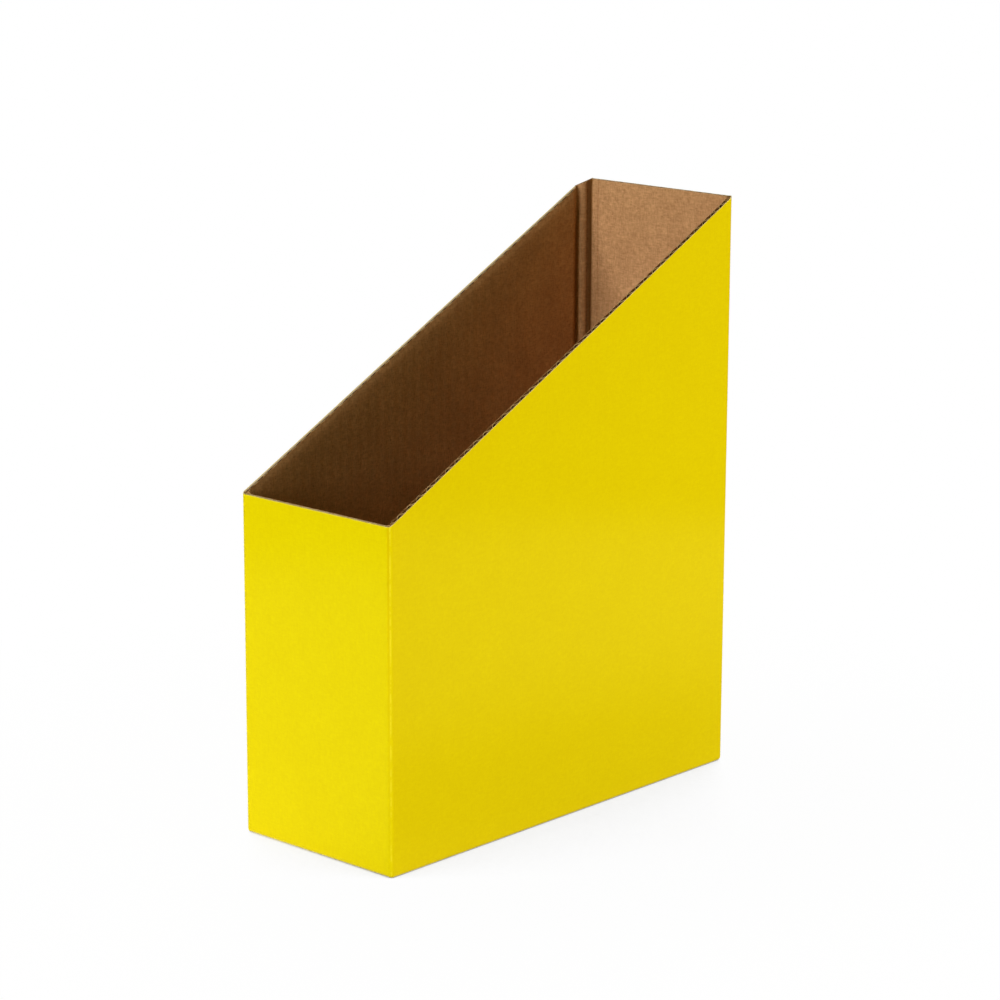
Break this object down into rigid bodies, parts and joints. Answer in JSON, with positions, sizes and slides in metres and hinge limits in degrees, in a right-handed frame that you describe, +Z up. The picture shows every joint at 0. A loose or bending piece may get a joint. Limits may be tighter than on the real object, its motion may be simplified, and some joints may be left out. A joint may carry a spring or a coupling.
{
  "type": "magazine file",
  "caption": "Open-topped magazine file of corrugated board with raked sides, a low front, a tall back, interlocking base flaps and creases that let it fold flat.",
  "frame": {"origin": "centre of the base on the surface the file stands on", "axes": "+X to the right seen from the low front, +Y from the low front to the tall back, +Z up"},
  "size_m": [0.1, 0.25, 0.3],
  "materials": {
    "printed_liner": "satin",
    "kraft_liner": "matte",
    "fluting_paper": "matte",
    "glue": "satin"
  },
  "bodies": {
    "left_side": {"left_side_outer_liner": "printed_liner", "left_side_fluting": "fluting_paper", "left_side_inner_liner": "kraft_liner"},
    "front": {"front_outer_liner": "printed_liner", "front_fluting": "fluting_paper", "front_inner_liner": "kraft_liner", "glue_lap_outer_liner": "printed_liner", "glue_lap_fluting": "fluting_paper", "glue_lap_inner_liner": "kraft_liner", "lap_glue": "glue"},
    "right_side": {"right_side_outer_liner": "printed_liner", "right_side_fluting": "fluting_paper", "right_side_inner_liner": "kraft_liner"},
    "back": {"back_outer_liner": "printed_liner", "back_fluting": "fluting_paper", "back_inner_liner": "kraft_liner"},
    "right_flap": {"right_flap_outer_liner": "printed_liner", "right_flap_fluting": "fluting_paper", "right_flap_inner_liner": "kraft_liner"},
    "locking_tongue": {"tongue_outer_liner": "printed_liner", "tongue_fluting": "fluting_paper", "tongue_inner_liner": "kraft_liner"},
    "left_flap": {"left_flap_outer_liner": "printed_liner", "left_flap_fluting": "fluting_paper", "left_flap_inner_liner": "kraft_liner"},
    "front_flap": {"front_flap_outer_liner": "printed_liner", "front_flap_fluting": "fluting_paper", "front_flap_inner_liner": "kraft_liner"},
    "back_flap": {"back_flap_outer_liner": "printed_liner", "back_flap_fluting": "fluting_paper", "back_flap_inner_liner": "kraft_liner"},
    "corner_strip": {"corner_strip_outer_liner": "printed_liner", "corner_strip_crushed_medium": "fluting_paper", "corner_strip_inner_liner": "kraft_liner"}
  },
  "joints": [
    {"name": "front_fold", "type": "hinge", "parent": "left_side", "child": "front", "pos_m": [-0.047, -0.1188, 0], "axis": [0, 0, 1], "range_deg": [0, 88]},
    {"name": "front_right_crease", "type": "hinge", "parent": "front", "child": "right_side", "pos_m": [0.05, -0.125, 0], "axis": [0, 0, -1], "range_deg": [0, 88]},
    {"name": "back_right_crease", "type": "hinge", "parent": "right_side", "child": "back", "pos_m": [0.047, 0.1188, 0], "axis": [0, 0, 1], "range_deg": [0, 88]},
    {"name": "corner_strip_crease", "type": "hinge", "parent": "left_side", "child": "corner_strip", "pos_m": [-0.05, 0.1175, 0], "axis": [0, 0, 1], "range_deg": [0, 35.55]},
    {"name": "right_flap_crease", "type": "hinge", "parent": "right_side", "child": "right_flap", "pos_m": [0.05, 0, 0], "axis": [0, -1, 0], "range_deg": [0, 176]},
    {"name": "left_flap_crease", "type": "hinge", "parent": "left_side", "child": "left_flap", "pos_m": [-0.05, 0, 0], "axis": [0, 1, 0], "range_deg": [0, 88]},
    {"name": "front_flap_crease", "type": "hinge", "parent": "front", "child": "front_flap", "pos_m": [0, -0.125, 0], "axis": [-1, 0, 0], "range_deg": [0, 123.2]},
    {"name": "back_flap_crease", "type": "hinge", "parent": "back", "child": "back_flap", "pos_m": [0, 0.125, 0], "axis": [1, 0, 0], "range_deg": [0, 123.2]},
    {"name": "tongue_crease", "type": "hinge", "parent": "right_flap", "child": "locking_tongue", "pos_m": [-0.01, 0, 0], "axis": [0, -1, 0], "range_deg": [0, 30]}
  ],
  "couplings": [
    {"joint": "front_right_crease", "follows": "front_fold", "ratio": 1},
    {"joint": "back_right_crease", "follows": "front_fold", "ratio": 1},
    {"joint": "corner_strip_crease", "follows": "front_fold", "ratio": 0.4028},
    {"joint": "right_flap_crease", "follows": "front_fold", "ratio": 2},
    {"joint": "left_flap_crease", "follows": "front_fold", "ratio": 1},
    {"joint": "front_flap_crease", "follows": "front_fold", "ratio": 1.4},
    {"joint": "back_flap_crease", "follows": "front_fold", "ratio": 1.4}
  ]
}
